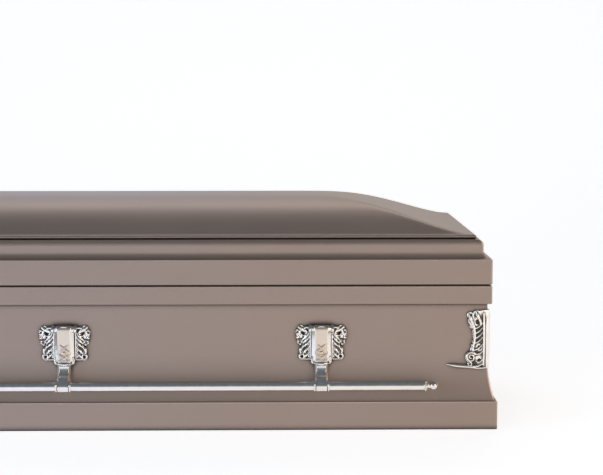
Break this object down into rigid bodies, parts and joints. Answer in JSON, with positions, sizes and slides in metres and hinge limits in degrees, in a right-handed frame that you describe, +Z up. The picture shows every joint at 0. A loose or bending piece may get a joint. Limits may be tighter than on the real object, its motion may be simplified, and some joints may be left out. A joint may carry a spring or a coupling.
{
  "type": "funeral casket",
  "caption": "Full-size sheet metal funeral casket with a crowned lift-off lid, swing bar handles on ornate lugs, and scrolled corner ornaments.",
  "frame": {"origin": "middle of the underside, on the plane that the casket stands on", "axes": "+X along the casket towards its right end as seen from the front, -Y towards the front, +Z up"},
  "size_m": [2.106, 0.763, 0.555],
  "materials": {
    "paint": "satin metallic enamel, warm silver taupe",
    "hardware": "polished silver plate with dark recesses",
    "pin_steel": "plain"
  },
  "bodies": {
    "casket": {"bottom_pan": "paint", "front_wall": "paint", "back_wall": "paint", "left_wall": "paint", "right_wall": "paint", "front_lid_rim": "paint", "back_lid_rim": "paint", "left_lid_rim": "paint", "right_lid_rim": "paint", "lid_crown": "paint", "front_left_lug": "hardware", "front_middle_lug": "hardware", "front_right_lug": "hardware", "back_left_lug": "hardware", "back_middle_lug": "hardware", "back_right_lug": "hardware", "front_left_pin": "pin_steel", "front_middle_pin": "pin_steel", "front_right_pin": "pin_steel", "back_left_pin": "pin_steel", "back_middle_pin": "pin_steel", "back_right_pin": "pin_steel", "front_left_corner": "hardware", "front_right_corner": "hardware", "back_left_corner": "hardware", "back_right_corner": "hardware"},
    "front_handle": {"front_left_arm": "hardware", "front_middle_arm": "hardware", "front_right_arm": "hardware", "front_bar": "hardware", "front_left_bar_tip": "hardware", "front_right_bar_tip": "hardware"},
    "back_handle": {"back_left_arm": "hardware", "back_middle_arm": "hardware", "back_right_arm": "hardware", "back_bar": "hardware", "back_left_bar_tip": "hardware", "back_right_bar_tip": "hardware"}
  },
  "joints": [
    {"name": "front_handle_swing", "type": "hinge", "parent": "casket", "child": "front_handle", "pos_m": [0, -0.339, 0.248], "axis": [-1, 0, 0], "range_deg": [0, 85]},
    {"name": "back_handle_swing", "type": "hinge", "parent": "casket", "child": "back_handle", "pos_m": [0, 0.339, 0.248], "axis": [1, 0, 0], "range_deg": [0, 85]}
  ]
}
